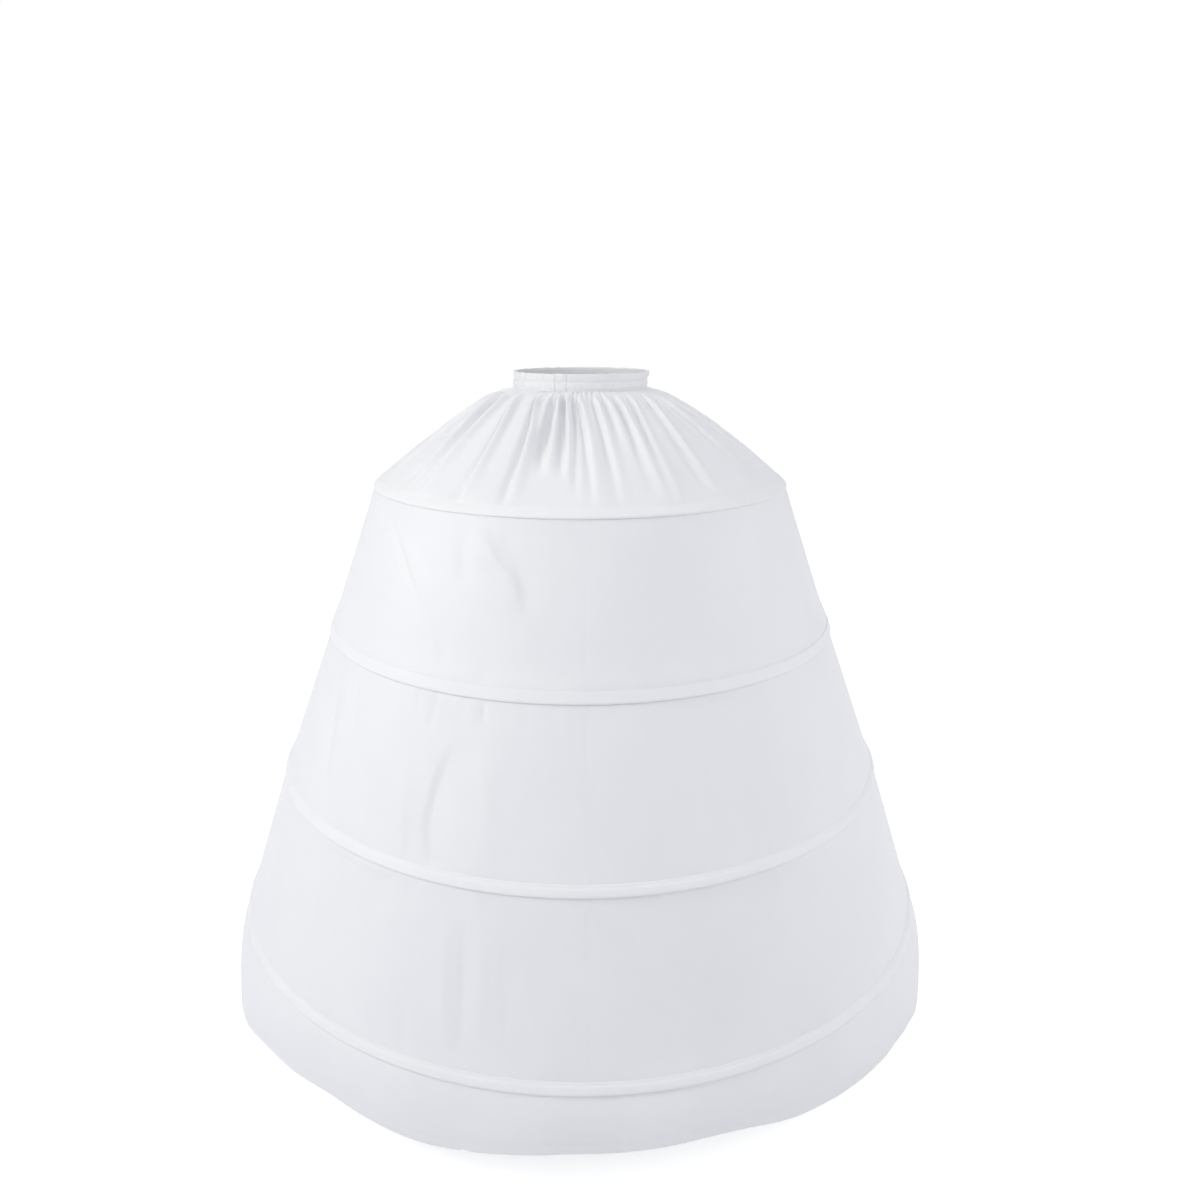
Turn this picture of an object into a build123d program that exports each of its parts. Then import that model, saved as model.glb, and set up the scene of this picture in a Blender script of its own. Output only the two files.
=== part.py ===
from build123d import *
from math import atan2, cos, exp, pi, radians, sin
import os

# A hoop petticoat: five rings of cloth, each of two half panels, hung from an elastic waistband and
# held out by four sprung hoops. Sizes are millimetres. The origin is the centre of the waist opening
# at its top edge, +Z is up, and the wearer faces -Y, so their left side is +X.

# Waistband
WAIST_RADIUS = 105.0
BAND_HEIGHT = 24.0
BAND_PLY = 0.9
HEADING_HEIGHT = 9.0
STITCH_MARGIN = 1.5
TUNNEL_EASE = 0.8
TUNNEL_SLOPE = 2.0
ELASTIC_WIDTH = 10.0
ELASTIC_THICKNESS = 1.2

# Cloth, and its radius and its drop below the waist at each of the four hoop lines
CLOTH = 0.8
LINE_RADII = [338.0, 421.0, 509.0, 589.0]
LINE_DROPS = [177.0, 412.0, 650.0, 892.0]
TIER_NAMES = ["second_tier", "third_tier", "fourth_tier"]

# Hoops and the casings that hold them. A casing stands proud of the cloth over its hoop, and its
# cavity ends where it is stitched down.
CASING_HEIGHT = 18.5
CASING_PROUD = 4.1
CASING_SHOULDER = 3.6
CASING_SHOULDER_UP = 12.5
CASING_FOLD = 1.4
CAVITY_SHOULDER_UP = 12.1
CAVITY_TOP_UP = 15.5
BONING_WIDTH = 7.6
BONING_THICKNESS = 1.0
BONING_UP = 3.4
BONING_GAP = 1.5
JOINER_LENGTH = 36.0
JOINER_WALL = 0.5
SLIT_LENGTH = 44.0
SLIT_HEIGHT = 9.2

# Gathered yoke: the drop and the mean radius of each level
YOKE_LEVELS = [(24.0, 107.4), (38.0, 146.0), (60.0, 184.0), (90.0, 229.0),
               (120.0, 271.0), (145.0, 303.0), (163.0, 325.0), (177.0, 338.0)]
YOKE_WALL = 1.4

# Each gather is a hollow with a crest beside it. For each: its turn in degrees from centre front, the
# height of its crest at its best, and the drop at which it has gone.
GATHERS = {
    "left": [(3.0, 6.0, 162), (8.9, 5.4, 162), (14.6, 4.4, 104), (20.1, 4.8, 154), (25.9, 4.2, 162),
             (38.6, 5.6, 154), (58.0, 4.2, 126), (74.0, 3.0, 134), (90.0, 3.0, 154), (104.0, 4.6, 162),
             (118.0, 3.8, 136), (132.0, 5.4, 162), (145.0, 4.0, 132), (157.0, 5.2, 162), (168.5, 4.0, 144)],
    "right": [(6.8, 4.4, 134), (12.6, 6.0, 124), (22.0, 6.0, 162), (35.6, 5.4, 162), (48.2, 5.2, 160),
              (58.0, 5.2, 154), (74.5, 3.6, 154), (92.0, 3.2, 144), (106.0, 4.8, 162), (120.0, 3.8, 134),
              (133.5, 5.4, 162), (145.5, 4.0, 144), (158.0, 5.2, 162), (169.5, 4.0, 136)],
}
GATHER_SHAPE = [(-2.6, 0.0), (-1.2, -0.9), (0.9, 1.0), (2.7, 0.0)]
GATHER_START = 0.15
GATHER_BUILD_UP = 26.0
PLAIN_STEP = 6.0

# Slack folds in the tiers on the wearer's right: degrees from centre front, half width and depth,
# and the share of the tier's drop at each level with how much of that depth shows there
DRAG_FOLDS = [(16.0, 4.0, 2.4), (24.5, 3.6, -3.2), (31.0, 4.0, 1.8), (49.5, 4.0, -3.0), (54.0, 4.0, 2.4)]
DRAG_STEPS = 60
DRAG_LEVELS = [(0.0, 0.0), (0.3, 1.0), (0.9, 0.0), (1.0, 0.0)]

# Hem flounce: the drop and the mean radius of each level and the depth of its flutes there, the
# shape of one flute and the size of each, and the cut edges as distance behind centre and drop
HEM_LEVELS = [(892.0, 589.0, 0.0), (925.0, 601.0, 1.0), (970.0, 610.0, 2.4), (1065.0, 618.0, 4.5)]
FLUTE_SHAPE = [0.0, 1.0, 0.1, -0.9]
FLUTE_SIZES = [0.8, 1.1, 0.4, 1.0, 0.7, 0.5, 1.2, 0.5, 0.9, 1.1, 0.6, 0.9, 0.4]
HEM_BACK_DROP = 1042.0
HEM_BACK_FROM = 200.0
CLEAR_OF_SKIRT = 1200.0
HEM_EDGE = {
    "left": [(-650, 968), (-611, 963), (-600, 961), (-578, 961), (-544, 974), (-500, 983),
             (-414, 985), (-330, 992), (-232, 1020), (-60, 1040)],
    "right": [(-650, 954), (-611, 963), (-600, 974), (-575, 983), (-535, 975), (-488, 970),
              (-392, 985), (-295, 1009), (-180, 1030), (-60, 1040)],
}

SIDES = {"left": 1, "right": -1}

os.makedirs("parts", exist_ok=True)


def keep(piece, name):
    piece.part.label = name
    export_step(piece.part, f"parts/{name}.step")


def section_ring(points, arc=360.0, start_turn=0.0, mode=Mode.ADD):
    # A closed section of (radius, height) points, revolved from a turn measured about the back
    with BuildSketch(Plane.YZ.rotated((0, 0, start_turn))) as section:
        with BuildLine():
            Polyline(points, close=True)
        make_face()
    revolve(section.sketch, axis=Axis.Z, revolution_arc=arc, mode=mode)


def ring_points(side, outline, height):
    # Points round the wearer on one side, from turns in degrees from centre front and radii
    points = []
    for turn, radius in outline:
        across = 0.0 if turn in (0.0, 180.0) else radius * sin(radians(turn))
        points.append(Vector(SIDES[side] * across, -radius * cos(radians(turn)), height))
    return points


def flat_face(points):
    return Face(Wire.make_polygon(points, close=True))


def wall_facets(rows):
    # Two flat facets between each pair of creases, from each level to the next
    facets = []
    for upper, lower in zip(rows, rows[1:]):
        for spot in range(len(upper) - 1):
            facets.append(flat_face([upper[spot], lower[spot], lower[spot + 1]]))
            facets.append(flat_face([upper[spot], lower[spot + 1], upper[spot + 1]]))
    return facets


def folded_panel(side, levels, wall):
    # A half ring of thin folded cloth through levels that each give a drop and an outline
    outer = []
    inner = []
    for drop, outline in levels:
        outer.append(ring_points(side, outline, -drop))
        inner.append(ring_points(side, [(turn, radius - wall) for turn, radius in outline], -drop))
    facets = wall_facets(outer) + wall_facets(inner)
    for level in (0, -1):
        facets.append(flat_face(outer[level] + inner[level][::-1]))
    for end in (0, -1):
        facets.append(flat_face([row[end] for row in outer] + [row[end] for row in inner[::-1]]))
    add(Solid(Shell(facets)))


def gathered_outline(side, drop, radius):
    # The gathers build up below the waistband and die away before the first hoop
    start = YOKE_LEVELS[0][0]
    outline = [(0.0, radius), (180.0, radius)]
    for turn, height, gone in GATHERS[side]:
        rise = min(1.0, GATHER_START + (1.0 - GATHER_START) * (drop - start) / GATHER_BUILD_UP)
        fade = max(0.0, 1.0 - ((drop - start) / (gone - start)) ** 2)
        for aside, share in GATHER_SHAPE:
            outline.append((turn + aside, radius + height * rise * fade * share))
    creases = [turn for turn, _ in outline]
    for step in range(1, int(180.0 / PLAIN_STEP)):
        turn = step * PLAIN_STEP
        if min(abs(turn - crease) for crease in creases) > PLAIN_STEP / 2:
            outline.append((turn, radius))
    return sorted(outline)


def fluted_outline(radius, depth):
    # The flounce's flutes are wide and uneven
    outline = []
    flute_turn = 180.0 / len(FLUTE_SIZES)
    for flute, size in enumerate(FLUTE_SIZES):
        for place, share in enumerate(FLUTE_SHAPE):
            turn = flute_turn * (flute + place / len(FLUTE_SHAPE))
            outline.append((turn, radius + depth * size * share))
    return outline + [(180.0, radius)]


def dragged_outline(radius, slack):
    # Slack cloth hangs in a few long folds near the front, and is taut elsewhere
    outline = [(0.0, radius)]
    for step in range(1, DRAG_STEPS):
        turn = 180.0 * step / DRAG_STEPS
        folds = sum(depth * exp(-((turn - at) / width) ** 2) for at, width, depth in DRAG_FOLDS)
        outline.append((turn, radius + slack * folds))
    return outline + [(180.0, radius)]


def lean_at(line):
    # How far the cloth above a hoop line leans from upright, in radians
    if line == 0:
        drop_above, radius_above = YOKE_LEVELS[-2]
    else:
        drop_above, radius_above = LINE_DROPS[line - 1], LINE_RADII[line - 1]
    return atan2(LINE_RADII[line] - radius_above, LINE_DROPS[line] - drop_above)


def on_cloth(line, out, up):
    # A point of a hoop's section, measured out from the cloth and up along it from the hoop line
    lean = lean_at(line)
    radius = LINE_RADII[line] + out * cos(lean) - up * sin(lean)
    height = -LINE_DROPS[line] + out * sin(lean) + up * cos(lean)
    return radius, height


def strip_section(line, inner, outer, foot, top):
    # The flat section of a strip that lies along the cloth
    return [on_cloth(line, inner, foot), on_cloth(line, outer, foot),
            on_cloth(line, outer, top), on_cloth(line, inner, top)]


# The waistband is a folded strip of cloth. Its lower part is a tunnel for the elastic, and the part
# above the upper row of stitching stands as a plain heading.
band_outer = WAIST_RADIUS + 2 * BAND_PLY
tunnel_outer = band_outer + ELASTIC_THICKNESS + TUNNEL_EASE
tunnel_top = -HEADING_HEIGHT - STITCH_MARGIN
tunnel_foot = tunnel_top - ELASTIC_WIDTH - STITCH_MARGIN
with BuildPart() as waistband:
    section_ring([
        (WAIST_RADIUS, -BAND_HEIGHT),
        (WAIST_RADIUS, 0.0),
        (band_outer, 0.0),
        (band_outer, -HEADING_HEIGHT),
        (tunnel_outer, tunnel_top - TUNNEL_SLOPE),
        (tunnel_outer, tunnel_foot),
        (band_outer, -BAND_HEIGHT),
    ])
    section_ring([
        (WAIST_RADIUS + BAND_PLY, tunnel_foot),
        (WAIST_RADIUS + BAND_PLY, tunnel_top),
        (tunnel_outer - BAND_PLY, tunnel_top - TUNNEL_SLOPE),
        (tunnel_outer - BAND_PLY, tunnel_foot),
    ], mode=Mode.SUBTRACT)
keep(waistband, "waistband")

# The elastic stands in the tunnel against its inner ply.
elastic_inner = WAIST_RADIUS + BAND_PLY
elastic_outer = elastic_inner + ELASTIC_THICKNESS
with BuildPart() as waist_elastic:
    section_ring([
        (elastic_inner, tunnel_foot),
        (elastic_inner, tunnel_foot + ELASTIC_WIDTH),
        (elastic_outer, tunnel_foot + ELASTIC_WIDTH),
        (elastic_outer, tunnel_foot),
    ])
keep(waist_elastic, "waist_elastic")

# The yoke is gathered into the waistband, and its gathers run out before the first hoop.
for side in SIDES:
    yoke_levels = [(drop, gathered_outline(side, drop, radius)) for drop, radius in YOKE_LEVELS]
    with BuildPart() as yoke:
        folded_panel(side, yoke_levels, YOKE_WALL)
    keep(yoke, f"yoke_{side}")

# Between the hoops hang three tiers. The wearer's left panels are taut half cones, and the right
# ones hang a little slack.
for tier, name in enumerate(TIER_NAMES):
    top, foot = LINE_DROPS[tier], LINE_DROPS[tier + 1]
    top_radius, foot_radius = LINE_RADII[tier], LINE_RADII[tier + 1]
    wall = CLOTH / cos(lean_at(tier + 1))
    with BuildPart() as taut_panel:
        section_ring([
            (-top_radius, -top),
            (-foot_radius, -foot),
            (-foot_radius + wall, -foot),
            (-top_radius + wall, -top),
        ], arc=180.0)
    keep(taut_panel, f"{name}_left")

    slack_levels = []
    for share, slack in DRAG_LEVELS:
        radius = top_radius + share * (foot_radius - top_radius)
        slack_levels.append((top + share * (foot - top), dragged_outline(radius, slack)))
    with BuildPart() as slack_panel:
        folded_panel("right", slack_levels, wall)
    keep(slack_panel, f"{name}_right")

# The hem flounce hangs from the last hoop in soft flutes, and its edge is cut shorter in front.
hem_levels = [(drop, fluted_outline(radius, depth)) for drop, radius, depth in HEM_LEVELS]
for side, edge in HEM_EDGE.items():
    with BuildPart() as flounce:
        folded_panel(side, hem_levels, CLOTH)
        with BuildSketch(Plane.YZ):
            with BuildLine():
                cut = Spline([(along, -drop) for along, drop in edge] + [(HEM_BACK_FROM, -HEM_BACK_DROP)])
                Polyline([cut @ 1, (CLEAR_OF_SKIRT, -HEM_BACK_DROP), (CLEAR_OF_SKIRT, -CLEAR_OF_SKIRT),
                          (edge[0][0], -CLEAR_OF_SKIRT), cut @ 0])
            make_face()
        extrude(amount=CLEAR_OF_SKIRT, both=True, mode=Mode.SUBTRACT)
    keep(flounce, f"hem_flounce_{side}")

# Each hoop is a flat strip of covered spring steel, in a casing sewn over the seam between two
# tiers. Its ends butt inside a joiner at centre back, behind a slit in the casing.
boning_inner = CLOTH + JOINER_WALL / 2
boning_outer = boning_inner + BONING_THICKNESS
boning_top = BONING_UP + BONING_WIDTH
for line, radius in enumerate(LINE_RADII):
    with BuildPart() as casing:
        section_ring([
            on_cloth(line, 0.0, 0.0),
            on_cloth(line, CASING_PROUD, CASING_FOLD),
            on_cloth(line, CASING_SHOULDER, CASING_SHOULDER_UP),
            on_cloth(line, 0.0, CASING_HEIGHT),
        ])
        section_ring([
            on_cloth(line, CLOTH, CASING_FOLD),
            on_cloth(line, CASING_PROUD - CLOTH, CASING_FOLD + CLOTH),
            on_cloth(line, CASING_SHOULDER - CLOTH, CAVITY_SHOULDER_UP),
            on_cloth(line, CLOTH, CAVITY_TOP_UP),
        ], mode=Mode.SUBTRACT)
        lean = lean_at(line)
        slit_y, slit_z = on_cloth(line, boning_outer + JOINER_WALL, BONING_UP + BONING_WIDTH / 2)
        with BuildSketch(Plane((0, slit_y, slit_z), x_dir=(1, 0, 0), z_dir=(0, cos(lean), sin(lean)))):
            SlotOverall(SLIT_LENGTH, SLIT_HEIGHT)
        extrude(amount=CASING_PROUD, mode=Mode.SUBTRACT)
    keep(casing, f"hoop_casing_{line + 1}")

    gap_turn = BONING_GAP / radius * 180.0 / pi
    boning = strip_section(line, boning_inner, boning_outer, BONING_UP, boning_top)
    with BuildPart() as hoop:
        section_ring(boning, arc=360.0 - gap_turn, start_turn=gap_turn / 2)
    keep(hoop, f"hoop_{line + 1}")

    joiner_turn = JOINER_LENGTH / radius * 180.0 / pi
    sleeve = strip_section(line, CLOTH, boning_outer + JOINER_WALL,
                           BONING_UP - JOINER_WALL, boning_top + JOINER_WALL)
    with BuildPart() as joiner:
        section_ring(sleeve, arc=joiner_turn, start_turn=-joiner_turn / 2)
        section_ring(boning, arc=joiner_turn, start_turn=-joiner_turn / 2, mode=Mode.SUBTRACT)
    keep(joiner, f"hoop_joiner_{line + 1}")
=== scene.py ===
from math import atan2, cos, pi, radians, sin

import bpy
import numpy as np
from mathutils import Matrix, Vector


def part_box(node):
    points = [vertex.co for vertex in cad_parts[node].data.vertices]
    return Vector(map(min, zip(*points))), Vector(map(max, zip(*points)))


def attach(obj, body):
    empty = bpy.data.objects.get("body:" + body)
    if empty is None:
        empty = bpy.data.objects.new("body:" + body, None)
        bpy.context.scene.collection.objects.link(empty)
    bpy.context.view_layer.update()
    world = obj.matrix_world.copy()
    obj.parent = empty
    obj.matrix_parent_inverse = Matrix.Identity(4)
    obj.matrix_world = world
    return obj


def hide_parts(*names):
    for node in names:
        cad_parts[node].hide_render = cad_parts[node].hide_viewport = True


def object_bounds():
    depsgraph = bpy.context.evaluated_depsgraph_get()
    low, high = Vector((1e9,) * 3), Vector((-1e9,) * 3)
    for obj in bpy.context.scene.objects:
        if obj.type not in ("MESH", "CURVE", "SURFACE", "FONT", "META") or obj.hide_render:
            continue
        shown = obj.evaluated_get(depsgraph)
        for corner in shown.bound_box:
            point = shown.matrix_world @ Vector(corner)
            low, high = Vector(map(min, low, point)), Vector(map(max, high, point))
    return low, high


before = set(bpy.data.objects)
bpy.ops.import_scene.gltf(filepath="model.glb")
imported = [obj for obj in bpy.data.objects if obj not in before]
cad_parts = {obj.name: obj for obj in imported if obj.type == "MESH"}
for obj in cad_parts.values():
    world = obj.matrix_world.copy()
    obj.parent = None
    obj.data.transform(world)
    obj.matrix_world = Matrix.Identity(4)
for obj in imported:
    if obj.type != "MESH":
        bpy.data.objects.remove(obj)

cad_low, cad_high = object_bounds()


# Camera and studio
# The wearer faces -Y, and the camera stands in front a little above the waist and looks down. The
# petticoat hangs over a white floor, between soft lamps at both sides, in front and above.
CAMERA_PLACE = (0.0, -1.6662, 0.0904)
CAMERA_DIP = radians(15.95)
CAMERA_LENS, CAMERA_SENSOR = 30.0, 36.0
CAMERA_SHIFT = 0.0165
camera_data = bpy.data.cameras.new("camera")
camera_data.lens = CAMERA_LENS
camera_data.sensor_width = CAMERA_SENSOR
camera_data.shift_x = CAMERA_SHIFT
camera = bpy.data.objects.new("camera", camera_data)
camera.location = CAMERA_PLACE
camera.rotation_euler = (pi / 2 - CAMERA_DIP, 0.0, 0.0)
bpy.context.collection.objects.link(camera)
bpy.context.scene.camera = camera
bpy.context.scene.view_settings.view_transform = "Standard"

# name, place, aim, width and height in metres, power in watts
LAMPS = [
    ("left_lamp", (-2.6, -1.1, 0.5), (0.0, 0.0, -0.45), (1.8, 2.2), 21.0),
    ("high_left_lamp", (-1.7, -1.0, 0.9), (-0.2, -0.2, -0.2), (1.0, 1.0), 17.0),
    ("right_lamp", (2.8, -0.7, 0.5), (0.0, 0.0, -0.45), (1.6, 2.0), 32.5),
    ("front_lamp", (0.3, -3.0, 1.0), (0.0, 0.0, -0.45), (2.6, 2.0), 28.5),
    ("top_lamp", (0.0, 0.3, 2.2), (0.0, 0.0, -0.3), (2.4, 2.4), 17.0),
]
LAMP_COLOUR = (1.0, 0.978, 0.90)
for name, place, aim, size, watts in LAMPS:
    lamp_data = bpy.data.lights.new(name, "AREA")
    lamp_data.shape = "RECTANGLE"
    lamp_data.size, lamp_data.size_y = size
    lamp_data.energy = watts
    lamp_data.color = LAMP_COLOUR
    lamp = bpy.data.objects.new(name, lamp_data)
    lamp.location = place
    across = [a - p for a, p in zip(aim, place)]
    level = (across[0] ** 2 + across[1] ** 2) ** 0.5
    lamp.rotation_euler = (atan2(level, -across[2]), 0.0, atan2(across[1], across[0]) - pi / 2)
    bpy.context.collection.objects.link(lamp)


def new_surface(name):
    # A fresh material, with its nodes, its links and its surface node
    material = bpy.data.materials.new(name)
    material.use_nodes = True
    nodes, links = material.node_tree.nodes, material.node_tree.links
    return material, nodes, links, nodes["Principled BSDF"]


def new_math(nodes, links, operation, *terms):
    # A sum, where each term is the output of another node or a plain number
    node = nodes.new("ShaderNodeMath")
    node.operation = operation
    for slot, term in enumerate(terms):
        if isinstance(term, float):
            node.inputs[slot].default_value = term
        else:
            links.new(term, node.inputs[slot])
    return node.outputs[0]


def map_range(nodes, links, value, low, high, start=0.0, end=1.0):
    # Spreads a value that runs from start to end between low and high
    node = nodes.new("ShaderNodeMapRange")
    node.inputs["From Min"].default_value = start
    node.inputs["From Max"].default_value = end
    node.inputs["To Min"].default_value = low
    node.inputs["To Max"].default_value = high
    links.new(value, node.inputs["Value"])
    return node.outputs[0]


def seen_directly(nodes, links):
    # 1 for rays that the camera, a gloss or a glass sends, and 0 for the light that falls on cloth
    rays = nodes.new("ShaderNodeLightPath").outputs
    either = new_math(nodes, links, "MAXIMUM", rays["Is Camera Ray"], rays["Is Glossy Ray"])
    return new_math(nodes, links, "MAXIMUM", either, rays["Is Transmission Ray"])


WORLD_LIGHT = 0.33
WORLD_COLOUR = (0.71, 0.755, 1.0, 1.0)
world = bpy.data.worlds.new("white_room")
bpy.context.scene.world = world
world.use_nodes = True
nodes, links = world.node_tree.nodes, world.node_tree.links
background = nodes["Background"]
seen = seen_directly(nodes, links)
tint = nodes.new("ShaderNodeMix")
tint.data_type = "RGBA"
tint.inputs["A"].default_value = WORLD_COLOUR
tint.inputs["B"].default_value = (1.0, 1.0, 1.0, 1.0)
links.new(seen, tint.inputs["Factor"])
links.new(tint.outputs["Result"], background.inputs["Color"])
links.new(map_range(nodes, links, seen, WORLD_LIGHT, 1.0), background.inputs["Strength"])

# The floor glows white where it is seen, less so near the object, where its shadow lies
FLOOR_GAP = 0.004
FLOOR_REACH = 9.0
GLOW_FROM, GLOW_TO = 0.62, 1.0
GLOW_STARTS, GLOW_ENDS = 0.8, 2.4
floor_z = cad_low[2] - FLOOR_GAP
floor_mesh = bpy.data.meshes.new("floor")
floor_mesh.from_pydata([(-FLOOR_REACH, -FLOOR_REACH, floor_z), (FLOOR_REACH, -FLOOR_REACH, floor_z),
                        (FLOOR_REACH, FLOOR_REACH, floor_z), (-FLOOR_REACH, FLOOR_REACH, floor_z)],
                       [], [(0, 1, 2, 3)])
floor = bpy.data.objects.new("floor", floor_mesh)
bpy.context.collection.objects.link(floor)
floor_paint, nodes, links, paint = new_surface("floor_paint")
paint.inputs["Base Color"].default_value = (0.76, 0.78, 0.82, 1.0)
paint.inputs["Roughness"].default_value = 0.9
paint.inputs["Emission Color"].default_value = (1.0, 1.0, 1.0, 1.0)
where = nodes.new("ShaderNodeTexCoord")
away = nodes.new("ShaderNodeVectorMath")
away.operation = "LENGTH"
links.new(where.outputs["Object"], away.inputs[0])
glow = map_range(nodes, links, away.outputs["Value"], GLOW_FROM, GLOW_TO, GLOW_STARTS, GLOW_ENDS)
glow = new_math(nodes, links, "MULTIPLY", glow, seen_directly(nodes, links))
links.new(glow, paint.inputs["Emission Strength"])
floor_mesh.materials.append(floor_paint)


# Waistband
# A strip of white taffeta, folded in two and stitched in two rows. The upper row leaves a
# plain heading and the two rows make the tunnel of the elastic, which puckers the cloth a little.
PLY = 0.0005
band_low, band_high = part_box("waistband")
band_foot = -band_low[2]
band_radius = band_high[0]


def smooth_step(value, start, end):
    share = np.clip((value - start) / (end - start), 0.0, 1.0)
    return share * share * (3.0 - 2.0 * share)


def bump_at(value, centre, width):
    return np.exp(-((value - centre) / width) ** 2)


def ripple(turn, seed, slowest, fastest, count=9):
    # An uneven wave of height about 1 round the wearer, made of a few whole numbers of waves
    draw = np.random.default_rng(seed)
    total = np.zeros_like(turn)
    for waves in draw.integers(slowest, fastest, count):
        total = total + np.sin(waves * turn + draw.uniform(0.0, 2.0 * pi)) / count ** 0.5
    return total


def even_section(section, count):
    # The two measures of a section and the run along it, at evenly spaced points, as columns
    section = np.array(section)
    run = np.concatenate([[0.0], np.cumsum(np.hypot(*np.diff(section, axis=0).T))])
    even = np.linspace(0.0, run[-1], count)[:, None]
    return np.interp(even, run, section[:, 0]), np.interp(even, run, section[:, 1]), even


def out_at(place, places, outs):
    # How far out a sampled section lies at a place along its outer face
    outer = slice(0, int(places.argmin()) + 1)
    return np.interp(-place, -places[outer, 0], outs[outer, 0])


def place_round(turn, radius, drop):
    # A turn from centre front, towards the wearer's left, a radius and a drop below the waist
    return np.stack([radius * np.sin(turn), -radius * np.cos(turn), -drop + 0.0 * turn], axis=-1)


def new_piece(name, points, faces):
    mesh = bpy.data.meshes.new(name)
    mesh.from_pydata(points.tolist(), [], faces.tolist())
    mesh.polygons.foreach_set("use_smooth", [True] * len(mesh.polygons))
    mesh.update()
    # A cut edge that only one face has is sharp, so that the thickness turns a clean corner there
    sides = np.sort(np.stack([faces, np.roll(faces, -1, axis=1)], axis=-1).reshape(-1, 2), axis=1)
    keys, uses = np.unique(sides[:, 0] * len(points) + sides[:, 1], return_counts=True)
    ends = np.empty(2 * len(mesh.edges), dtype=np.int32)
    mesh.edges.foreach_get("vertices", ends)
    ends = np.sort(ends.reshape(-1, 2), axis=1).astype(np.int64)
    cut = np.isin(ends[:, 0] * len(points) + ends[:, 1], keys[uses == 1])
    mesh.edges.foreach_set("use_edge_sharp", cut)
    piece = bpy.data.objects.new(name, mesh)
    bpy.context.collection.objects.link(piece)
    return piece


def cloth_piece(name, points, across, along, skip=None):
    # Cloth from a grid of points, its rows from top to foot and its columns round the wearer. Across
    # and along are each point's place on the flat cloth.
    rows, columns = points.shape[:2]
    index = np.arange(rows * columns).reshape(rows, columns)
    faces = np.stack([index[:-1, :-1], index[1:, :-1], index[1:, 1:], index[:-1, 1:]], axis=-1)
    if skip is not None:
        faces = faces[~skip]
    piece = new_piece(name, points.reshape(-1, 3), faces.reshape(-1, 4))
    thread = piece.data.attributes.new("thread", "FLOAT_VECTOR", "POINT")
    places = np.stack([across, along, 0.0 * along], axis=-1)
    thread.data.foreach_set("vector", places.astype(np.float32).ravel())
    thickness = piece.modifiers.new("thickness", "SOLIDIFY")
    thickness.thickness = PLY
    thickness.offset = -1.0
    return piece


def weave_threads(nodes, links, place, pitch):
    # Warp and weft as two crossed waves, where place gives metres across and along the cloth
    split = nodes.new("ShaderNodeSeparateXYZ")
    links.new(place, split.inputs[0])
    waves = []
    for axis in ("X", "Y"):
        phase = new_math(nodes, links, "MULTIPLY", split.outputs[axis], 2.0 * pi / pitch)
        waves.append(new_math(nodes, links, "SINE", phase))
    return new_math(nodes, links, "MULTIPLY", *waves)


def thread_noise(nodes, links, place, stretch, detail):
    # Noise drawn out along or across the threads
    scaled = nodes.new("ShaderNodeVectorMath")
    scaled.operation = "MULTIPLY"
    scaled.inputs[1].default_value = (stretch[0], stretch[1], 1.0)
    links.new(place, scaled.inputs[0])
    noise = nodes.new("ShaderNodeTexNoise")
    noise.inputs["Scale"].default_value = 1.0
    noise.inputs["Detail"].default_value = detail
    links.new(scaled.outputs[0], noise.inputs["Vector"])
    return noise.outputs["Fac"]


def bump_layer(nodes, links, height, metres, under=None):
    layer = nodes.new("ShaderNodeBump")
    layer.inputs["Strength"].default_value = 1.0
    layer.inputs["Distance"].default_value = metres
    links.new(height, layer.inputs["Height"])
    if under is not None:
        links.new(under, layer.inputs["Normal"])
    return layer.outputs["Normal"]


def make_taffeta(name, light, dark):
    # White taffeta: a tight plain weave with fine slubs along the weft, a soft sheen, faint creases
    # and a colour that is a little uneven
    cloth, nodes, links, surface = new_surface(name)
    thread = nodes.new("ShaderNodeAttribute")
    thread.attribute_name = "thread"
    place = thread.outputs["Vector"]
    blotch = thread_noise(nodes, links, place, (9.0, 6.0), 3.0)
    slub = thread_noise(nodes, links, place, (55.0, 1400.0), 2.0)
    shade = nodes.new("ShaderNodeMix")
    shade.data_type = "RGBA"
    shade.inputs["A"].default_value = (*dark, 1.0)
    shade.inputs["B"].default_value = (*light, 1.0)
    links.new(new_math(nodes, links, "MULTIPLY_ADD", slub, 0.35, blotch), shade.inputs["Factor"])
    links.new(shade.outputs["Result"], surface.inputs["Base Color"])
    links.new(map_range(nodes, links, slub, 0.40, 0.56), surface.inputs["Roughness"])
    surface.inputs["Specular IOR Level"].default_value = 0.42
    surface.inputs["Sheen Weight"].default_value = 0.12
    surface.inputs["Sheen Roughness"].default_value = 0.35
    crease = thread_noise(nodes, links, place, (26.0, 9.0), 2.5)
    relief = bump_layer(nodes, links, crease, 0.0009)
    relief = bump_layer(nodes, links, slub, 0.00006, relief)
    relief = bump_layer(nodes, links, weave_threads(nodes, links, place, 0.00042), 0.00003, relief)
    links.new(relief, surface.inputs["Normal"])
    return cloth


skirt_taffeta = make_taffeta("skirt_taffeta", (0.815, 0.822, 0.838), (0.765, 0.773, 0.796))
# The casings' taffeta is the skirt's taffeta painted a little lighter: painted light, for the brighter band
# that each casing shows where it tilts towards the lamps.
casing_taffeta_painted_lighter = make_taffeta("casing_taffeta_painted_lighter", (0.835, 0.841, 0.855), (0.79, 0.797, 0.817))
# The band's taffeta is the skirt's taffeta painted a little darker: painted shade, for the greyer look of the
# waistband.
band_taffeta_painted_darker = make_taffeta("band_taffeta_painted_darker", (0.80, 0.806, 0.82), (0.75, 0.757, 0.775))

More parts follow.
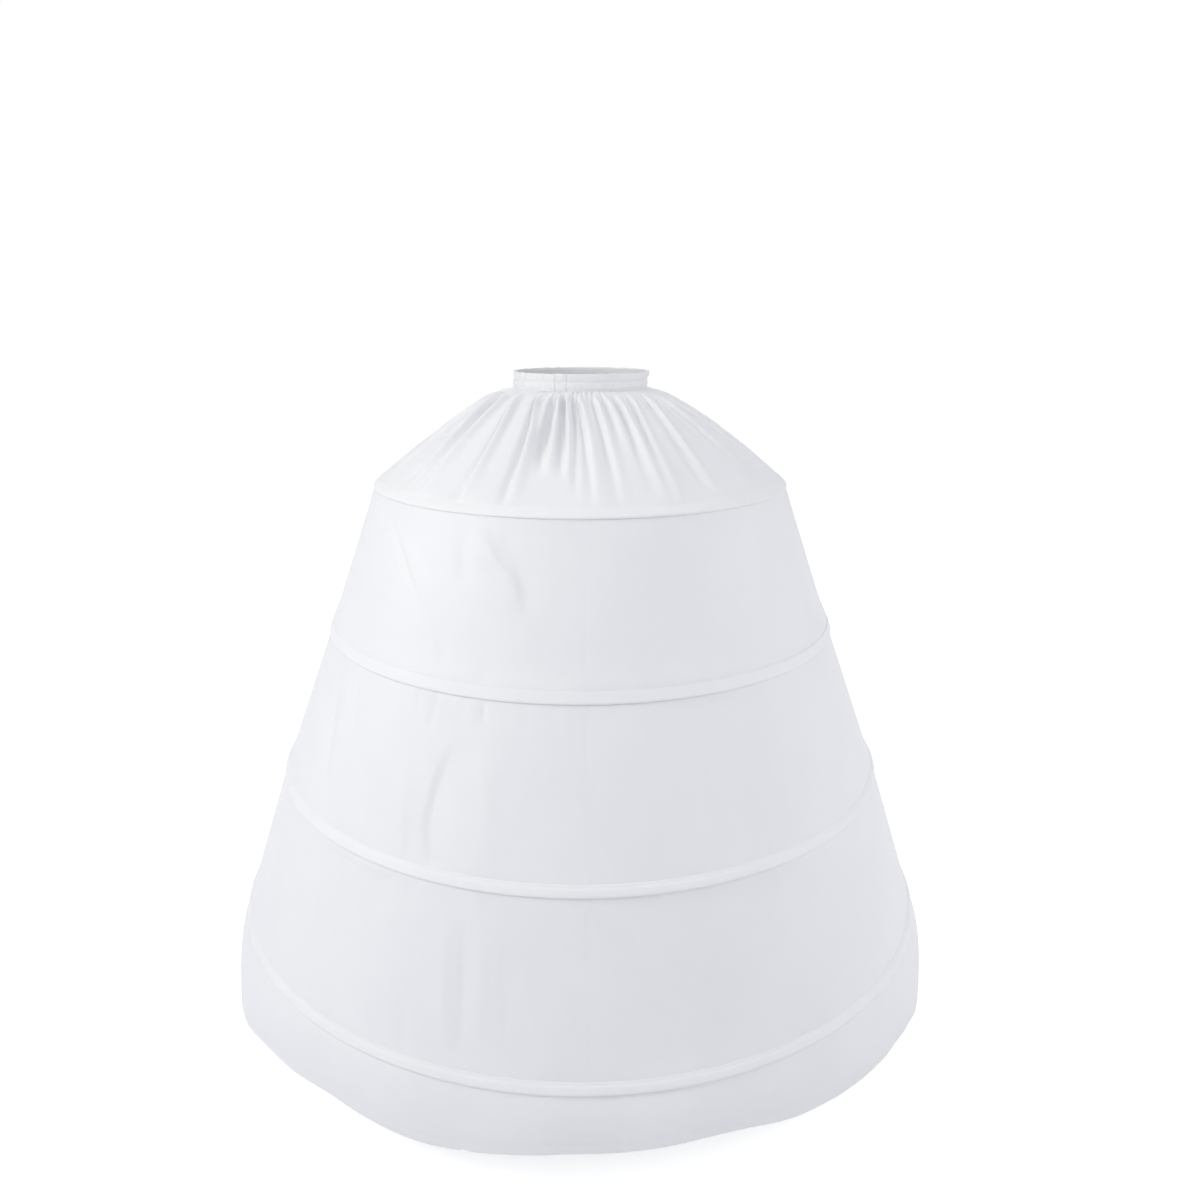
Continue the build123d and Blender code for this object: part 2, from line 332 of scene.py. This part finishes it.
# The band's section as radius past its inner face and drop, from the foot of the outer ply over the
# fold at the top to the foot of the inner ply
BAND_SECTION = [(0.0024, 0.0240), (0.0026, 0.0231), (0.0021, 0.0222), (0.0024, 0.0216), (0.0033, 0.0208),
                (0.0038, 0.0185), (0.0039, 0.0155), (0.0037, 0.0125), (0.0033, 0.0109), (0.0022, 0.0102),
                (0.0018, 0.0096), (0.0024, 0.0089), (0.0028, 0.0060), (0.0029, 0.0030), (0.0027, -0.0008),
                (0.0022, -0.0022), (0.0014, -0.0026), (0.0008, -0.0018), (0.0006, 0.0010), (0.0006, 0.0100),
                (0.0006, 0.0180), (0.0006, 0.0239)]
BAND_COLUMNS, BAND_ROWS = 461, 48
BAND_STITCHES = [0.0096, 0.0220]
# The ends of the strip lap between two turns, with a hollow beside each edge of the lap
LAP_FROM, LAP_TO = radians(-19.8), radians(-11.1)
LAP_EDGE, LAP_RISE = 0.005, 0.0008
HOLLOW_ASIDE, HOLLOW_REACH, HOLLOW_DEPTH = 0.010, 0.011, 0.0014
# The heading flares out a little on the wearer's left
FLARE_TURN, FLARE_REACH, FLARE_RISE = radians(88.0), radians(34.0), 0.0040
BAND_DEPTH = 0.0038
band_inner = band_radius - BAND_DEPTH


def band_surface(turn, out, drop):
    # Where a point of the band's section lies, with the elastic's puckers and the lap of its ends
    outer_ply = smooth_step(out, 0.0012, 0.0020)
    heading = outer_ply * smooth_step(-drop, -0.010, -0.002)
    tunnel = outer_ply * bump_at(drop, 0.0160, 0.005)
    lap = smooth_step(turn, LAP_FROM - LAP_EDGE, LAP_FROM + LAP_EDGE)
    lap = lap - smooth_step(turn, LAP_TO - LAP_EDGE, LAP_TO + LAP_EDGE)
    hollows = bump_at(turn, LAP_FROM - HOLLOW_ASIDE, HOLLOW_REACH)
    hollows = hollows + 0.7 * bump_at(turn, LAP_TO + HOLLOW_ASIDE, HOLLOW_REACH)
    flare = FLARE_RISE * bump_at(turn, FLARE_TURN, FLARE_REACH) * smooth_step(-drop, -0.014, 0.0)
    radius = band_inner + out + (LAP_RISE * lap - HOLLOW_DEPTH * hollows) * outer_ply + flare
    radius = radius + 0.0003 * tunnel * ripple(turn, 3, 40, 95) + 0.0005 * heading * ripple(turn, 4, 20, 60)
    return place_round(turn, radius, drop + 0.0004 * heading * ripple(turn, 5, 8, 40))


def stitch_rows(name, rows, length, thickness):
    # Rows of lockstitch, each stitch a spindle of thread. A row gives the middles of its stitches,
    # the way along the row and the way out of the cloth at each.
    sides = np.arange(6) * pi / 3.0
    spots, facets = [], []
    for middles, along, outward in rows:
        along = along / np.linalg.norm(along, axis=-1, keepdims=True)
        aside = np.cross(along, outward)
        ring = [middles + 0.5 * thickness * (cos(a) * outward + sin(a) * aside) for a in sides]
        ends = [middles + 0.5 * length * way * along - 0.4 * thickness * outward for way in (-1.0, 1.0)]
        spots.append(np.stack(ring + ends, axis=1).reshape(-1, 3))
    total = sum(len(spot) for spot in spots)
    for first in range(0, total, 8):
        for a in range(6):
            b = (a + 1) % 6
            facets.append((first + b, first + a, first + 7))
            facets.append((first + a, first + b, first + 6))
    piece = new_piece(name, np.concatenate(spots), np.array(facets))
    piece.data.materials.append(sewing_thread)
    return piece


sewing_thread, nodes, links, surface = new_surface("sewing_thread")
surface.inputs["Base Color"].default_value = (0.84, 0.845, 0.855, 1.0)
surface.inputs["Roughness"].default_value = 0.38
surface.inputs["Specular IOR Level"].default_value = 0.5
twist = nodes.new("ShaderNodeTexWave")
twist.bands_direction = "DIAGONAL"
twist.inputs["Scale"].default_value = 900.0
where = nodes.new("ShaderNodeTexCoord")
links.new(where.outputs["Object"], twist.inputs["Vector"])
links.new(bump_layer(nodes, links, twist.outputs["Fac"], 0.00006), surface.inputs["Normal"])

band_out, band_drop, band_run = even_section(BAND_SECTION, BAND_ROWS)
turn, run = np.meshgrid(np.linspace(-pi, pi, BAND_COLUMNS), band_run[:, 0])
waistband = cloth_piece("waistband_cloth", band_surface(turn, band_out, band_drop), turn * band_radius, run)
waistband.modifiers["thickness"].offset = 0.0
waistband.data.materials.append(band_taffeta_painted_darker)
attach(waistband, "root")
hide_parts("waistband")

STITCH_PITCH, STITCH_LENGTH, STITCH_THICKNESS = 0.0032, 0.0026, 0.00055
rows = []
for drop in BAND_STITCHES:
    out = out_at(drop, band_drop, band_out)
    count = round(2.0 * pi * band_radius / STITCH_PITCH)
    turn = np.linspace(-pi, pi, count, endpoint=False)
    middles = band_surface(turn, out + PLY / 2 + 0.0 * turn, drop + 0.0 * turn)
    along = place_round(turn + 0.5 * pi, 1.0, 0.0)
    rows.append((middles, along, place_round(turn, 1.0, 0.0)))
stitching = stitch_rows("waistband_stitching", rows, STITCH_LENGTH, STITCH_THICKNESS)
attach(stitching, "root")


# Waist elastic
# A woven elastic ten millimetres wide with rubber cords in it, which runs in the waistband's tunnel.
elastic, nodes, links, surface = new_surface("woven_elastic")
surface.inputs["Base Color"].default_value = (0.78, 0.78, 0.77, 1.0)
surface.inputs["Roughness"].default_value = 0.75
cords = nodes.new("ShaderNodeTexWave")
cords.bands_direction = "Z"
cords.inputs["Scale"].default_value = 160.0
cords.inputs["Distortion"].default_value = 0.6
where = nodes.new("ShaderNodeTexCoord")
links.new(where.outputs["Object"], cords.inputs["Vector"])
links.new(bump_layer(nodes, links, cords.outputs["Fac"], 0.0003), surface.inputs["Normal"])
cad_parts["waist_elastic"].material_slots[0].material = elastic


# Yoke
# Two panels of taffeta, gathered into the foot of the waistband. The gathers are narrow pinched folds
# that fan out, some of them short, and the cloth is smooth where it reaches the first hoop.
line_drop = [-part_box(f"hoop_casing_{line}")[0][2] for line in (1, 2, 3, 4)]
line_radius = [-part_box(f"{name}_left")[0][1] for name in ("yoke", "second_tier", "third_tier", "fourth_tier")]
YOKE_COLUMNS, YOKE_ROWS = 450, 62
# The rows of points lie closer together towards the band, and the first two are tucked up behind it
ROWS_CROWD = 1.32
YOKE_TUCKS = [0.0035, 0.0015]
YOKE_INSET = 0.0016
YOKE_SPRING, YOKE_FULLNESS = 0.76, 0.2
SIDES = {"left": (0.0, pi), "right": (-pi, 0.0)}
SEAM_TURN = radians(1.2)

# Each gather: its turn in degrees at the band and at the hoop, its height in millimetres and the drop
# at which it has gone, in millimetres. A height below nothing is a pinched hollow without a crest.
GATHERS = [
    (-12.0, -5.2, 7.7, 134), (-17.0, -11.4, 9.8, 128), (-33.5, -19.0, 11.2, 172),
    (-49.0, -32.8, 9.8, 172), (-59.0, -47.8, 9.1, 162), (-76.0, -55.0, 8.4, 156),
    (-92.0, -74.0, 6.0, 154), (-106.0, -92.0, 3.8, 146), (-119.0, -106.0, 5.5, 164),
    (-130.0, -119.5, 4.5, 136), (-141.0, -133.5, 6.2, 164), (-151.0, -145.5, 4.8, 146),
    (-162.0, -158.0, 6.0, 164), (-172.0, -170.0, 4.8, 138), (-21.0, -13.6, -7.4, 112),
    (-68.0, -52.6, -6.3, 150), (-104.0, -91.0, -3.0, 130), (-7.0, -2.4, -5.2, 156),
    (-3.5, 2.8, 4.9, 170), (7.6, 9.4, 4.4, 168), (15.0, 15.0, 3.6, 104), (25.0, 20.0, 4.1, 158),
    (37.0, 24.0, 3.7, 166), (51.0, 36.6, 4.6, 158), (64.0, 57.5, 3.4, 128), (79.0, 73.5, 2.4, 136),
    (94.0, 89.5, 3.5, 156), (106.0, 103.5, 5.2, 164), (119.5, 117.5, 4.5, 138),
    (132.5, 132.5, 6.2, 164), (145.0, 145.5, 4.8, 134), (157.0, 157.5, 6.0, 164),
    (168.5, 169.0, 4.8, 146), (22.5, 17.6, -2.2, 152), (45.0, 34.4, -2.5, 150), (58.0, 50.0, -2.0, 104),
]
GATHER_SETTLES = 0.034
GATHER_WIDTH, GATHER_WIDENS = 0.0035, 0.0065
# Where a gather's crest and hollow lie beside its line, in widths of the gather
CREST_AT, HOLLOW_AT = 0.55, -0.75


def yoke_radius(drop):
    # The yoke springs out nearly level below the band and steepens towards the hoop
    share = np.clip((drop - band_foot) / (line_drop[0] - band_foot), 0.0, 1.0)
    top = band_inner + YOKE_INSET
    spread = share ** YOKE_SPRING + YOKE_FULLNESS * share ** 4 * (1.0 - share)
    return top + spread * (line_radius[0] - top)


def lean_of(radius_at, drop, step=0.0015):
    # How far a surface of revolution leans from upright at a drop
    return np.arctan2(radius_at(drop + step) - radius_at(drop - step), 2.0 * step)


def raise_from(turn, radius, drop, lean, height):
    # A point lifted off a leaning surface by a height
    return place_round(turn, radius + height * np.cos(lean), drop - height * np.sin(lean))


def gather_relief(turn, drop, radius):
    # A gather is a pinched hollow with a crest beside it, on the side towards the wearer's left
    total = np.zeros_like(turn)
    settled = np.exp(-(drop - band_foot) / GATHER_SETTLES)
    rise = smooth_step(drop, band_foot - 0.001, band_foot + 0.018)
    for at_band, at_hoop, height, gone in GATHERS:
        centre = radians(at_hoop) + radians(at_band - at_hoop) * settled
        share = np.clip((drop - band_foot) / (gone / 1000.0 - band_foot), 0.0, 1.0)
        width = GATHER_WIDTH + GATHER_WIDENS * share
        aside = radius * (turn - centre) / width
        fade = 1.0 - share ** 3
        if height < 0.0:
            shape = bump_at(aside, 0.0, 0.75)
            shape = shape - 0.25 * bump_at(aside, 1.6, 1.2) - 0.25 * bump_at(aside, -1.6, 1.2)
        else:
            crest = bump_at(aside, CREST_AT, np.where(aside < CREST_AT, 0.62, 1.35))
            hollow = bump_at(aside, HOLLOW_AT, np.where(aside < HOLLOW_AT, 0.95, 0.60))
            shape = crest - 0.8 * hollow
        total = total + height / 1000.0 * rise * fade * shape
    return total


def pucker(turn, drop, seam_drop, seed, reach, fastest):
    # The small puckers that a row of stitches draws up beside it
    return ripple(turn, seed, fastest // 2, fastest, 14) * np.exp(-np.abs(drop - seam_drop) / reach)


def seam_dip(turn, side, radius, depth=0.00040):
    # The edges of two panels turn in where they are sewn together
    ends = SIDES[side]
    to_edge = np.minimum(turn - ends[0], ends[1] - turn) * radius
    return -depth * np.exp(-to_edge / 0.003)


# The cloth rises towards the casing that is sewn to it, and dips under it behind the hoop
CASING_RISE = [0.0017, 0.0024, 0.0006, 0.0006]


def rise_to_casing(line, up):
    return CASING_RISE[line] * smooth_step(-up, -0.055, -0.0175) * smooth_step(up, 0.0125, 0.0165)


def seam_shift(turn):
    # The centre front seam hangs a little to the wearer's left, and the centre back one doesn't
    return turn + SEAM_TURN * (1.0 - np.abs(turn) / pi)


def side_turns(side, columns):
    # Turns from seam to seam, closer together near both seams
    even = np.linspace(0.0, 1.0, columns)
    eased = even - 0.055 * np.sin(2.0 * pi * even)
    start, end = SIDES[side]
    return start + (end - start) * eased


# Each slack fold or sharp crease: its ring of cloth, its line as turn in degrees and drop in
# millimetres, its reach towards the wearer's right and left, and its height, in millimetres, which is
# less than nothing for a hollow
SLACK_FOLDS = [
    ("yoke", [(-20.5, 22), (-16.5, 34), (-12.8, 53), (-11.5, 76)], (2.5, 4.0), -3.4),
    ("yoke", [(-36.0, 20), (-28.0, 34), (-22.2, 60), (-20.6, 92)], (2.8, 5.0), -3.0),
    ("yoke", [(-55.2, 57), (-53.5, 95), (-52.2, 138)], (2.5, 5.0), -3.2),
    ("yoke", [(-68.0, 61), (-66.5, 76), (-65.6, 94)], (2.5, 5.0), -2.8),
    ("second_tier", [(-58.2, 192), (-49.8, 224), (-40.0, 287), (-37.5, 325)], (4.5, 9.0), -3.4),
    ("second_tier", [(-53.0, 205), (-43.0, 246), (-36.0, 306)], (10.0, 22.0), 2.4),
    ("second_tier", [(-29.0, 190), (-26.5, 278)], (14.0, 12.0), -3.2),
    ("second_tier", [(-24.5, 190), (-20.2, 234), (-15.5, 254), (-14.0, 298)], (28.0, 9.0), 4.4),
    ("second_tier", [(-20.8, 190), (-15.0, 232), (-11.8, 290)], (9.0, 26.0), -1.6),
    ("second_tier", [(-31.5, 312), (-28.2, 390)], (14.0, 12.0), -1.6),
    ("second_tier", [(-19.5, 368), (-19.5, 396)], (10.0, 10.0), -1.4),
    ("second_tier", [(-50.2, 395.5), (-50.2, 400.5)], (3.0, 3.0), -2.0),
    ("third_tier", [(-29.0, 416), (-29.5, 462)], (3.4, 3.8), -2.6),
    ("third_tier", [(-19.2, 416), (-18.8, 442)], (3.4, 3.8), -2.2),
    ("third_tier", [(-33.2, 416), (-32.8, 448)], (3.6, 4.0), -1.7),
    ("third_tier", [(-54.8, 425), (-52.0, 552)], (6.5, 6.5), 3.2),
    ("third_tier", [(-51.5, 420), (-48.0, 525)], (4.5, 8.0), -2.6),
    ("third_tier", [(-58.2, 455), (-52.2, 606)], (9.0, 5.0), -2.4),
    ("third_tier", [(-23.0, 470), (-25.5, 505), (-26.8, 577), (-24.2, 648)], (6.0, 28.0), -3.8),
    ("third_tier", [(-32.5, 520), (-30.5, 640)], (18.0, 9.0), 2.0),
    ("third_tier", [(-17.8, 460), (-15.5, 645)], (18.0, 20.0), 2.6),
    ("third_tier", [(-38.5, 585), (-35.8, 632)], (12.0, 12.0), -1.7),
    ("fourth_tier", [(-76.0, 656), (-50.0, 657), (-30.0, 657)], (3.0, 3.0), 1.0),
    ("fourth_tier", [(-34.0, 654), (-33.0, 712)], (14.0, 14.0), -1.7),
    ("fourth_tier", [(-21.5, 678), (-19.5, 868)], (12.0, 7.0), 1.7),
    ("fourth_tier", [(-18.4, 668), (-17.2, 873)], (7.0, 10.0), -1.7),
    ("fourth_tier", [(-15.4, 678), (-14.4, 868)], (10.0, 8.0), 1.3),
    ("fourth_tier", [(-11.8, 678), (-10.8, 873)], (10.0, 18.0), -1.3),
    ("fourth_tier", [(-27.0, 800), (-25.0, 884)], (10.0, 12.0), -1.7),
    ("fourth_tier", [(-31.5, 770), (-31.5, 858)], (26.0, 20.0), 1.6),
]

# A fold whose line drops less than this runs level round the cloth
LEVEL_FOLD = 0.004


def slack_relief(ring, turn, drop, radius):
    total = np.zeros_like(turn)
    for where, line, (right_reach, left_reach), height in SLACK_FOLDS:
        if where != ring:
            continue
        line_turns, drops = np.array(line, dtype=float).T
        drops = drops / 1000.0
        if drops[-1] - drops[0] < LEVEL_FOLD:
            aside = drop - drops.mean()
            ends = radians(4.0)
            along = smooth_step(turn, radians(line_turns[0]), radians(line_turns[0]) + ends)
            along = along * smooth_step(-turn, -radians(line_turns[-1]), -radians(line_turns[-1]) + ends)
        else:
            nearby = np.linspace(-0.010, 0.010, 7)
            eased = [np.interp(drop + step, drops, line_turns) for step in nearby]
            centre = np.radians(np.mean(eased, axis=0))
            aside = radius * (turn - centre)
            ease = 0.35 * (drops[-1] - drops[0])
            along = smooth_step(drop, drops[0] - 0.3 * ease, drops[0] + ease)
            along = along * smooth_step(-drop, -drops[-1] - 0.3 * ease, -drops[-1] + ease)
        reach = np.where(aside < 0.0, right_reach, left_reach) / 1000.0
        total = total + height / 1000.0 * along * np.exp(-(aside / reach) ** 2)
    return total


yoke_drops = band_foot + (line_drop[0] - band_foot) * np.linspace(0.0, 1.0, YOKE_ROWS) ** ROWS_CROWD
yoke_drops = np.concatenate([[band_foot - tuck for tuck in YOKE_TUCKS], yoke_drops])
yoke_steps = np.hypot(np.diff(yoke_drops), np.diff(yoke_radius(yoke_drops)))
yoke_slant = np.concatenate([[0.0], np.cumsum(yoke_steps)])
for side in SIDES:
    turn, drop = np.meshgrid(side_turns(side, YOKE_COLUMNS), yoke_drops)
    base = yoke_radius(drop)
    lean = lean_of(yoke_radius, drop)
    plain = smooth_step(-drop, -line_drop[0] + 0.003, -line_drop[0] + 0.022)
    height = plain * gather_relief(turn, drop, base) + seam_dip(turn, side, base, 0.00015)
    if side == "right":
        height = height + plain * slack_relief("yoke", turn, drop, base)
    height = height + plain * 0.0007 * pucker(turn, drop, band_foot + 0.002, 11, 0.010, 130)
    height = height + plain * 0.0010 * ripple(turn, 12, 5, 22) * smooth_step(drop, 0.045, 0.09)
    height = height + rise_to_casing(0, (line_drop[0] - drop) / np.cos(lean))
    points = raise_from(seam_shift(turn), base, drop, lean, height)
    yoke = cloth_piece(f"yoke_{side}_cloth", points, turn * base, yoke_slant[:, None] + 0.0 * turn)
    yoke.data.materials.append(skirt_taffeta)
    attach(yoke, "root")
    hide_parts(f"yoke_{side}")


# Tiers between the hoops
# Three rings of taffeta, each of a left and a right panel, seamed at centre front and centre back and
# sewn at top and foot under the hoop casings. The right panels hang slack in a few long folds.
TIERS = ["second_tier", "third_tier", "fourth_tier"]
TIER_GRID = {"left": (220, 36), "right": (290, 50)}


def tier_radius(tier, drop):
    share = (drop - line_drop[tier]) / (line_drop[tier + 1] - line_drop[tier])
    return line_radius[tier] + share * (line_radius[tier + 1] - line_radius[tier])


for tier, name in enumerate(TIERS):
    top, foot = line_drop[tier], line_drop[tier + 1]
    lean = atan2(line_radius[tier + 1] - line_radius[tier], foot - top)
    for side, (columns, levels) in TIER_GRID.items():
        turn, drop = np.meshgrid(side_turns(side, columns), np.linspace(top, foot, levels))
        base = tier_radius(tier, drop)
        held = smooth_step(drop, top, top + 0.012) * smooth_step(-drop, -foot + 0.020, -foot + 0.034)
        height = seam_dip(turn, side, base)
        height = height + held * 0.0007 * ripple(turn, 21 + tier, 3, 20)
        height = height + held * 0.0004 * pucker(turn, drop, top + 0.004, 31 + tier, 0.018, 130)
        height = height + held * 0.0003 * pucker(turn, drop, foot - 0.022, 41 + tier, 0.014, 130)
        if side == "right":
            sewn = smooth_step(-drop, -foot + 0.017, -foot + 0.024) * smooth_step(drop, top, top + 0.003)
            height = height + sewn * slack_relief(name, turn, drop, base)
        height = height + rise_to_casing(tier + 1, (foot - drop) / cos(lean))
        points = raise_from(seam_shift(turn), base, drop, lean, height)
        panel = cloth_piece(f"{name}_{side}_cloth", points, turn * base, drop / cos(lean))
        panel.data.materials.append(skirt_taffeta)
        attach(panel, "root")
        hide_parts(f"{name}_{side}")


# Hem flounce
# A last ring of taffeta that hangs free from the fourth hoop, of a left and a right panel. Its edge is
# turned up inside and stitched, and it is shorter in front.
HEM_COLUMNS, HEM_ROWS, TURNING_ROWS = 320, 34, 7
HEM_TURNING = 0.012
STITCH_IN = 0.001
HEM_RADIUS = 0.611
FLOUNCE_SPREAD, FLOUNCE_SPREADS_BY = 0.029, 0.055
# Distance behind centre and drop of the edge, in millimetres, as in the panels' cut
HEM_EDGE = {
    "left": [(-650, 968), (-611, 963), (-600, 961), (-578, 961), (-544, 974), (-500, 983),
             (-414, 985), (-330, 992), (-232, 1020), (-60, 1040), (200, 1042), (700, 1042)],
    "right": [(-650, 954), (-611, 963), (-600, 974), (-575, 983), (-535, 975), (-488, 970),
              (-392, 985), (-295, 1009), (-180, 1030), (-60, 1040), (200, 1042), (700, 1042)],
}

# A small nick where the edge is drawn up by its stitches: its turn, its depth and its reach
HEM_NICK = (radians(-15.8), 0.0026, 0.006)


def hem_drop(side, turn):
    # The two sides meet at one height at centre front
    middle = -HEM_RADIUS * np.cos(turn)
    edges = {}
    for name, edge in HEM_EDGE.items():
        behind, drops = np.array(edge, dtype=float).T / 1000.0
        eased = [np.interp(middle + step, behind, drops) for step in np.linspace(-0.014, 0.014, 9)]
        edges[name] = np.mean(eased, axis=0)
    both = (edges["left"] + edges["right"]) / 2.0
    nick_turn, nick_depth, nick_reach = HEM_NICK
    level = edges[side] - nick_depth * bump_at(turn, nick_turn, nick_reach)
    return level + (both - edges[side]) * bump_at(turn, 0.0, 0.09)


def hem_stitch_drop(side, turn):
    return hem_drop(side, turn) - HEM_TURNING + STITCH_IN


def flounce_radius(drop):
    return line_radius[3] + FLOUNCE_SPREAD * (1.0 - np.exp(-(drop - line_drop[3]) / FLOUNCE_SPREADS_BY))


def flounce_relief(turn, drop):
    past = (drop - line_drop[3]) / 0.15
    return past * (0.0022 * ripple(turn, 51, 7, 22) + 0.0004 * ripple(turn, 52, 30, 60, 12))


def flounce_surface(side, turn, drop, from_edge, height=0.0):
    base = flounce_radius(drop)
    height = height + flounce_relief(turn, drop) + seam_dip(turn, side, base, 0.00012)
    height = height - 0.0004 * bump_at(from_edge, HEM_TURNING - STITCH_IN, 0.0016)
    height = height + 0.0003 * pucker(turn, from_edge, HEM_TURNING, 53, 0.007, 200)
    return raise_from(seam_shift(turn), base, drop, lean_of(flounce_radius, drop), height)


hem_rows = []
for side in SIDES:
    turns = side_turns(side, HEM_COLUMNS)
    edge = hem_drop(side, turns)[None, :]
    turn, share = np.meshgrid(turns, np.linspace(0.0, 1.0, HEM_ROWS))
    drop = line_drop[3] + share * (edge - line_drop[3])
    points = flounce_surface(side, turn, drop, edge - drop)
    flounce = cloth_piece(f"hem_flounce_{side}_cloth", points, turn * flounce_radius(drop), drop)
    turn, share = np.meshgrid(turns, np.linspace(0.0, 1.0, TURNING_ROWS))
    drop = edge - HEM_TURNING * (1.0 - share)
    points = flounce_surface(side, turn, drop - 0.0002, 1.0, -0.0009)
    turning = cloth_piece(f"hem_turning_{side}", points, turn * flounce_radius(drop), drop)
    for piece in (flounce, turning):
        piece.data.materials.append(skirt_taffeta)
        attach(piece, "root")
    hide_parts(f"hem_flounce_{side}")

    start, end = SIDES[side]
    count = round(pi * HEM_RADIUS / STITCH_PITCH)
    turn = start + (end - start) * (np.arange(count) + 0.5) / count
    middles = flounce_surface(side, turn, hem_stitch_drop(side, turn), HEM_TURNING - STITCH_IN)
    ahead, behind = [flounce_surface(side, turn + step, hem_stitch_drop(side, turn + step), 1.0)
                     for step in (0.002, -0.002)]
    hem_rows.append((middles, ahead - behind, place_round(seam_shift(turn), 1.0, 0.0)))
stitching = stitch_rows("hem_stitching", hem_rows, STITCH_LENGTH, STITCH_THICKNESS)
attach(stitching, "root")


# Hoop casings
# Four folded strips of the same taffeta, sewn in two rows over the seams between the rings of cloth.
# Each is a flat tunnel that its hoop fills, with a firm fold along its foot and a slit at the back.
CASING_COLUMNS, CASING_ROWS = 481, 15
# Out from the cloth and up along it from the hoop line, from the sewn top edge round to the foot
UPPER_SECTION = [(0.0018, 0.0186), (0.0021, 0.0184), (0.0022, 0.0165), (0.0023, 0.0150), (0.0027, 0.0131),
                 (0.0030, 0.0112), (0.0033, 0.0075), (0.0035, 0.0040), (0.0033, 0.0018), (0.0022, 0.0005),
                 (0.0008, 0.0001)]
MIDDLE_SECTION = [(0.0025, 0.0186), (0.0027, 0.0184), (0.0028, 0.0165), (0.0028, 0.0150), (0.0030, 0.0131),
                  (0.0031, 0.0112), (0.0033, 0.0075), (0.0034, 0.0040), (0.0032, 0.0018), (0.0022, 0.0005),
                  (0.0008, 0.0001)]
LOWER_SECTION = [(0.0007, 0.0186), (0.0012, 0.0184), (0.0014, 0.0165), (0.0014, 0.0150), (0.0024, 0.0131),
                 (0.0030, 0.0114), (0.0034, 0.0075), (0.0037, 0.0040), (0.0034, 0.0018), (0.0022, 0.0005),
                 (0.0008, 0.0001)]
CASING_SECTIONS = [UPPER_SECTION, MIDDLE_SECTION, LOWER_SECTION, LOWER_SECTION]
STITCH_UPS = [0.0150, 0.0019]
SLIT_HALF, SLIT_FOOT, SLIT_TOP, SLIT_OUT = 0.022, 0.0026, 0.0118, 0.0015
JOINER_SWELL, JOINER_HALF = 0.0005, 0.020


def lean_above(line):
    # How far the cloth above a hoop line leans from upright
    if line == 0:
        return lean_of(yoke_radius, line_drop[0] - 0.0068, 0.0068)
    return atan2(line_radius[line] - line_radius[line - 1], line_drop[line] - line_drop[line - 1])


def casing_surface(line, turn, out, up):
    # A point of a casing's section at a turn, with the draw of its stitches and the swell of the joiner
    lean = lean_above(line)
    proud = smooth_step(-up, -0.0160, -0.0110)
    behind = (pi - np.abs(turn)) * line_radius[line]
    drawn = 0.00016 * ripple(turn, 61 + line, 40, 130, 14)
    out = out + proud * (drawn + JOINER_SWELL * bump_at(behind, 0.0, JOINER_HALF))
    up = up + (1.0 - proud) * smooth_step(up, 0.010, 0.016) * 0.0003 * ripple(turn, 71 + line, 30, 110)
    radius = line_radius[line] + out * cos(lean) - up * sin(lean)
    return place_round(turn, radius, line_drop[line] - out * sin(lean) - up * cos(lean))


for line, section in enumerate(CASING_SECTIONS):
    section_out, section_up, section_run = even_section(section, CASING_ROWS)
    lean = lean_above(line)
    even = np.linspace(-pi, pi, CASING_COLUMNS)
    turn, run = np.meshgrid(even + 0.1 * np.sin(even), section_run[:, 0])
    behind = (pi - np.abs(turn)) * line_radius[line]
    in_slit = (behind < SLIT_HALF) & (section_out > SLIT_OUT)
    in_slit = in_slit & (section_up > SLIT_FOOT) & (section_up < SLIT_TOP)
    skip = in_slit[:-1, :-1] & in_slit[1:, :-1] & in_slit[1:, 1:] & in_slit[:-1, 1:]
    points = casing_surface(line, turn, section_out, section_up)
    casing = cloth_piece(f"hoop_casing_{line + 1}_cloth", points, turn * line_radius[line], run, skip=skip)
    casing.data.materials.append(casing_taffeta_painted_lighter)
    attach(casing, "root")
    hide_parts(f"hoop_casing_{line + 1}")

    rows = []
    for up in STITCH_UPS:
        out = 0.00005 + out_at(up, section_up, section_out)
        count = round(2.0 * pi * line_radius[line] / STITCH_PITCH)
        turn = np.linspace(-pi, pi, count, endpoint=False)
        middles = casing_surface(line, turn, out + 0.0 * turn, up + 0.0 * turn)
        outward = place_round(turn, cos(lean), -sin(lean))
        rows.append((middles, place_round(turn + 0.5 * pi, 1.0, 0.0), outward))
    stitching = stitch_rows(f"hoop_casing_{line + 1}_stitching", rows, STITCH_LENGTH, STITCH_THICKNESS)
    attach(stitching, "root")


# Hoops and joiners
# Each hoop is a flat strip of spring steel in a white plastic cover, and a steel sleeve closes its
# ends at centre back.
cover, nodes, links, surface = new_surface("boning_cover")
surface.inputs["Base Color"].default_value = (0.82, 0.82, 0.80, 1.0)
surface.inputs["Roughness"].default_value = 0.45
grain = nodes.new("ShaderNodeTexNoise")
grain.inputs["Scale"].default_value = 900.0
links.new(bump_layer(nodes, links, grain.outputs["Fac"], 0.00005), surface.inputs["Normal"])

sleeve, nodes, links, surface = new_surface("joiner_steel")
surface.inputs["Base Color"].default_value = (0.62, 0.62, 0.63, 1.0)
surface.inputs["Metallic"].default_value = 1.0
scratch = nodes.new("ShaderNodeTexNoise")
scratch.inputs["Scale"].default_value = 420.0
links.new(map_range(nodes, links, scratch.outputs["Fac"], 0.26, 0.42), surface.inputs["Roughness"])
for line in (1, 2, 3, 4):
    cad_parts[f"hoop_{line}"].material_slots[0].material = cover
    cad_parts[f"hoop_joiner_{line}"].material_slots[0].material = sleeve
